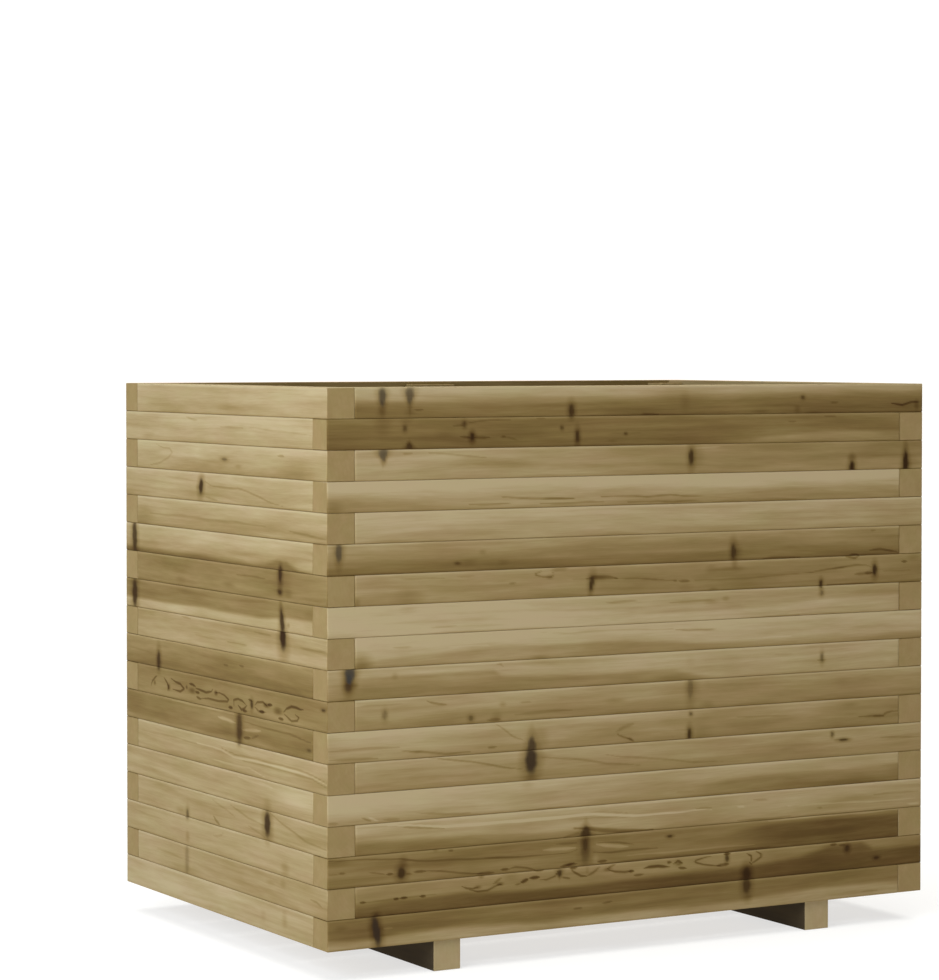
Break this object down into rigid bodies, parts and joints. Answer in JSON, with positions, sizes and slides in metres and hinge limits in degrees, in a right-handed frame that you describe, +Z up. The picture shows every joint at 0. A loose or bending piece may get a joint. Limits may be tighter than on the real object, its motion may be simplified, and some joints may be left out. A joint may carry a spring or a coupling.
{
  "type": "raised garden bed",
  "caption": "Rectangular raised garden bed of stacked timber beams lapped at the corners, with inner corner posts, a slatted drainage floor and ground skids.",
  "frame": {"origin": "on the ground, under the middle of the bed", "axes": "+Z up, +X along the long walls, the front wall at -Y"},
  "size_m": [0.9, 0.6, 0.722],
  "materials": {
    "beams": "planed pressure-treated pine, matt, olive-tan",
    "posts_and_battens": "planed pressure-treated pine, matt",
    "floor": "sawn pressure-treated pine, matt",
    "skids": "planed pressure-treated pine, matt",
    "screws": "zinc-plated"
  },
  "bodies": {
    "root": {"course_01_long_beams": "beams", "course_01_side_beams": "beams", "course_02_long_beams": "beams", "course_02_side_beams": "beams", "course_03_long_beams": "beams", "course_03_side_beams": "beams", "course_04_long_beams": "beams", "course_04_side_beams": "beams", "course_05_long_beams": "beams", "course_05_side_beams": "beams", "course_06_long_beams": "beams", "course_06_side_beams": "beams", "course_07_long_beams": "beams", "course_07_side_beams": "beams", "course_08_long_beams": "beams", "course_08_side_beams": "beams", "course_09_long_beams": "beams", "course_09_side_beams": "beams", "course_10_long_beams": "beams", "course_10_side_beams": "beams", "course_11_long_beams": "beams", "course_11_side_beams": "beams", "course_12_long_beams": "beams", "course_12_side_beams": "beams", "course_13_long_beams": "beams", "course_13_side_beams": "beams", "course_14_long_beams": "beams", "course_14_side_beams": "beams", "course_15_long_beams": "beams", "course_15_side_beams": "beams", "course_16_long_beams": "beams", "course_16_side_beams": "beams", "course_17_long_beams": "beams", "course_17_side_beams": "beams", "course_18_long_beams": "beams", "course_18_side_beams": "beams", "front_left_post": "posts_and_battens", "front_left_post_screws": "screws", "front_right_post": "posts_and_battens", "front_right_post_screws": "screws", "back_left_post": "posts_and_battens", "back_left_post_screws": "screws", "back_right_post": "posts_and_battens", "back_right_post_screws": "screws", "front_batten": "posts_and_battens", "front_batten_screws": "screws", "back_batten": "posts_and_battens", "back_batten_screws": "screws", "floor_board_1": "floor", "floor_board_2": "floor", "floor_board_3": "floor", "floor_board_4": "floor", "floor_board_5": "floor", "floor_screws": "screws", "left_skid": "skids", "right_skid": "skids", "skid_screws": "screws"}
  },
  "joints": []
}
